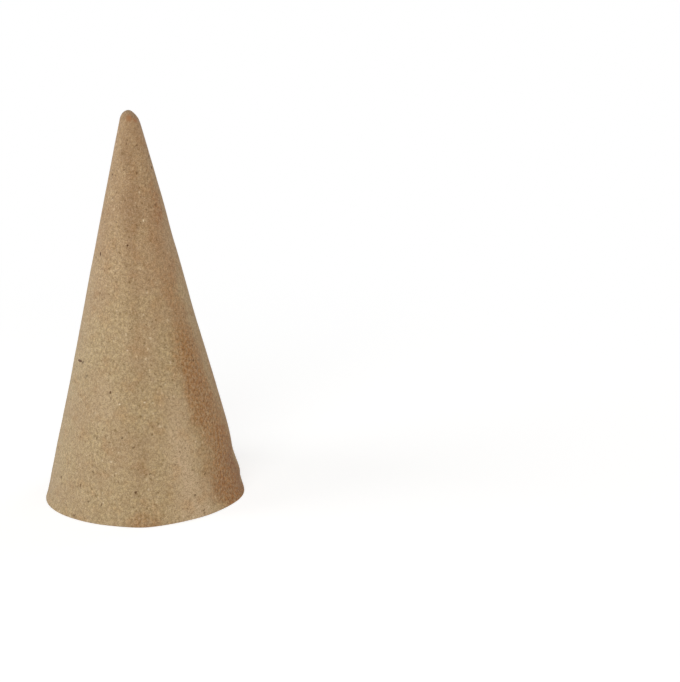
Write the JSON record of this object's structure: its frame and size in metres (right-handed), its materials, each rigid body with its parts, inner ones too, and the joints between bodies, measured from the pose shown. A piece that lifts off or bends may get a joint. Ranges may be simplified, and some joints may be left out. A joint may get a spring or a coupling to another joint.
{
  "type": "paper craft cone",
  "caption": "Hollow kraft-covered pulp board cone with a rounded point, standing on its open mouth, with the paper cover turned up inside the rim.",
  "frame": {"origin": "centre of the open mouth, on the surface that the rim stands on", "axes": "+Z along the cone's axis, towards the point; the overlap of the paper cover is at +Y and the dents are at +X"},
  "size_m": [0.0763, 0.077, 0.145],
  "materials": {
    "kraft_paper": "matte, fibrous"
  },
  "bodies": {
    "root": {"paper_cone": "kraft_paper"}
  },
  "joints": []
}
